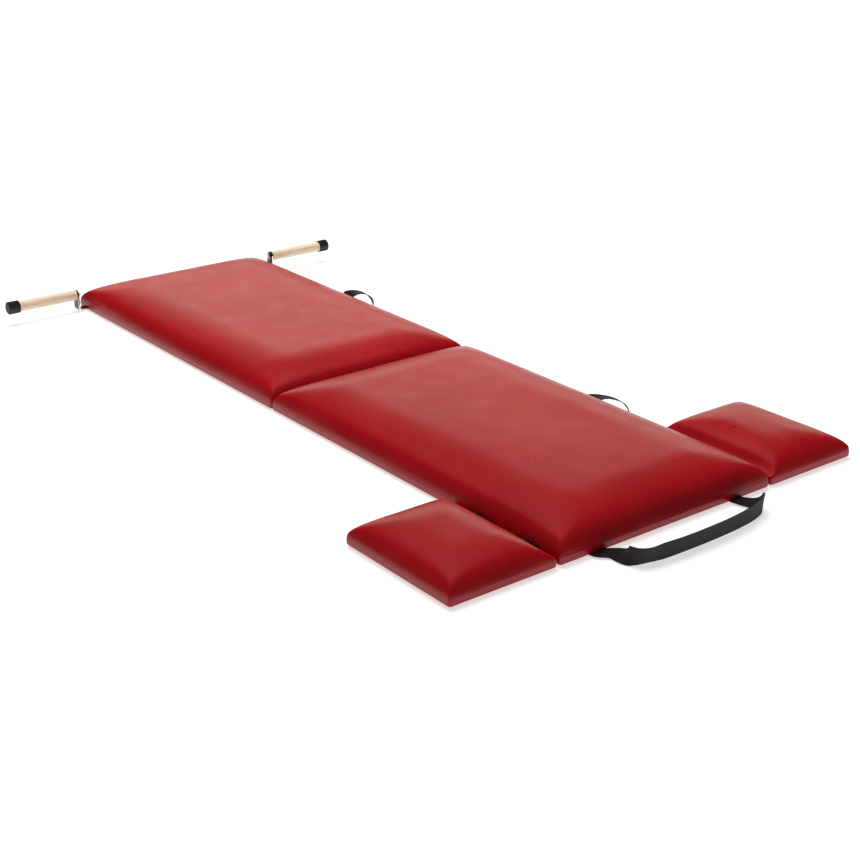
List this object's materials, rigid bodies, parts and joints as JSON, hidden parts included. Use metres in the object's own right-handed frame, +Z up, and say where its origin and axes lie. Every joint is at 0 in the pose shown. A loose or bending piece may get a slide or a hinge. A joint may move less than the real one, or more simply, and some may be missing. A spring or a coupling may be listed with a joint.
{
  "type": "folding padded mat",
  "caption": "Low padded floor mat that folds in half, with hinged side wings, wooden hand grips on steel arms, a webbing foot strap and webbing carry loops.",
  "frame": {"origin": "middle of the whole footprint, at floor level", "axes": "+Z up from the floor, +X across the mat to the side with the carry loops, +Y along the mat towards the hand grips"},
  "size_m": [1.046, 1.984, 0.07],
  "materials": {
    "red_vinyl": "satin upholstery vinyl, fine grain",
    "dust_cloth": "matt black bonded cloth",
    "plywood": "bare birch plywood",
    "foam": "open-cell foam",
    "black_rubber": "matt moulded rubber",
    "beech": "sanded beech, bare",
    "chromed_steel": "bright polished",
    "zinc_steel": "zinc plated",
    "black_steel": "black oxide",
    "webbing": "woven black webbing"
  },
  "bodies": {
    "foot_half": {"carry_loop_foot_plates": "zinc_steel", "carry_loop_foot_screws": "zinc_steel", "carry_loop_foot_tabs": "webbing", "fold_hinge_leaf_foot": "zinc_steel", "fold_hinge_pin": "zinc_steel", "fold_hinge_screws_foot": "zinc_steel", "foot_board": "plywood", "foot_cover": "red_vinyl", "foot_dust_cover": "dust_cloth", "foot_foam": "foam", "foot_rubber_feet": "black_rubber", "foot_strap_plates": "zinc_steel", "foot_strap_screws": "zinc_steel", "foot_strap_tabs": "webbing", "left_wing_hinge_fixed_leaves": "black_steel", "left_wing_hinge_fixed_screws": "black_steel", "left_wing_hinge_pins": "black_steel", "right_wing_hinge_fixed_leaves": "black_steel", "right_wing_hinge_fixed_screws": "black_steel", "right_wing_hinge_pins": "black_steel"},
    "head_half": {"carry_loop_head_plates": "zinc_steel", "carry_loop_head_screws": "zinc_steel", "carry_loop_head_tabs": "webbing", "fold_hinge_leaf_head": "zinc_steel", "fold_hinge_screws_head": "zinc_steel", "head_board": "plywood", "head_cover": "red_vinyl", "head_dust_cover": "dust_cloth", "head_foam": "foam", "head_rubber_feet": "black_rubber", "left_grip": "beech", "left_grip_arm": "chromed_steel", "left_grip_arm_screws": "zinc_steel", "left_grip_bolt": "zinc_steel", "left_grip_end_cap": "black_rubber", "left_grip_washer": "zinc_steel", "right_grip": "beech", "right_grip_arm": "chromed_steel", "right_grip_arm_screws": "zinc_steel", "right_grip_bolt": "zinc_steel", "right_grip_end_cap": "black_rubber", "right_grip_washer": "zinc_steel"},
    "left_wing": {"left_wing_board": "plywood", "left_wing_cover": "red_vinyl", "left_wing_dust_cover": "dust_cloth", "left_wing_foam": "foam", "left_wing_hinge_moving_leaves": "black_steel", "left_wing_hinge_moving_screws": "black_steel", "left_wing_rubber_feet": "black_rubber"},
    "right_wing": {"right_wing_board": "plywood", "right_wing_cover": "red_vinyl", "right_wing_dust_cover": "dust_cloth", "right_wing_foam": "foam", "right_wing_hinge_moving_leaves": "black_steel", "right_wing_hinge_moving_screws": "black_steel", "right_wing_rubber_feet": "black_rubber"},
    "foot_strap": {"foot_strap": "webbing"},
    "carry_loop_foot": {"carry_loop_foot": "webbing"},
    "carry_loop_head": {"carry_loop_head": "webbing"}
  },
  "joints": [
    {"name": "centre_fold", "type": "hinge", "parent": "foot_half", "child": "head_half", "pos_m": [0, 0.04896, 0.0024], "axis": [-1, 0, 0], "range_deg": [0, 180]},
    {"name": "left_wing_fold", "type": "hinge", "parent": "foot_half", "child": "left_wing", "pos_m": [-0.278, -0.74404, 0.0205], "axis": [0, 1, 0], "range_deg": [0, 90]},
    {"name": "right_wing_fold", "type": "hinge", "parent": "foot_half", "child": "right_wing", "pos_m": [0.278, -0.74404, 0.0205], "axis": [0, -1, 0], "range_deg": [0, 90]},
    {"name": "foot_strap_lift", "type": "hinge", "parent": "foot_half", "child": "foot_strap", "pos_m": [0, -0.89684, 0.0042], "axis": [-1, 0, 0], "range_deg": [0, 42]},
    {"name": "carry_loop_foot_lift", "type": "hinge", "parent": "foot_half", "child": "carry_loop_foot", "pos_m": [0.2778, -0.42204, 0.0042], "axis": [0, -1, 0], "range_deg": [-30, 5]},
    {"name": "carry_loop_head_lift", "type": "hinge", "parent": "head_half", "child": "carry_loop_head", "pos_m": [0.2778, 0.51996, 0.0042], "axis": [0, -1, 0], "range_deg": [-30, 5]}
  ]
}
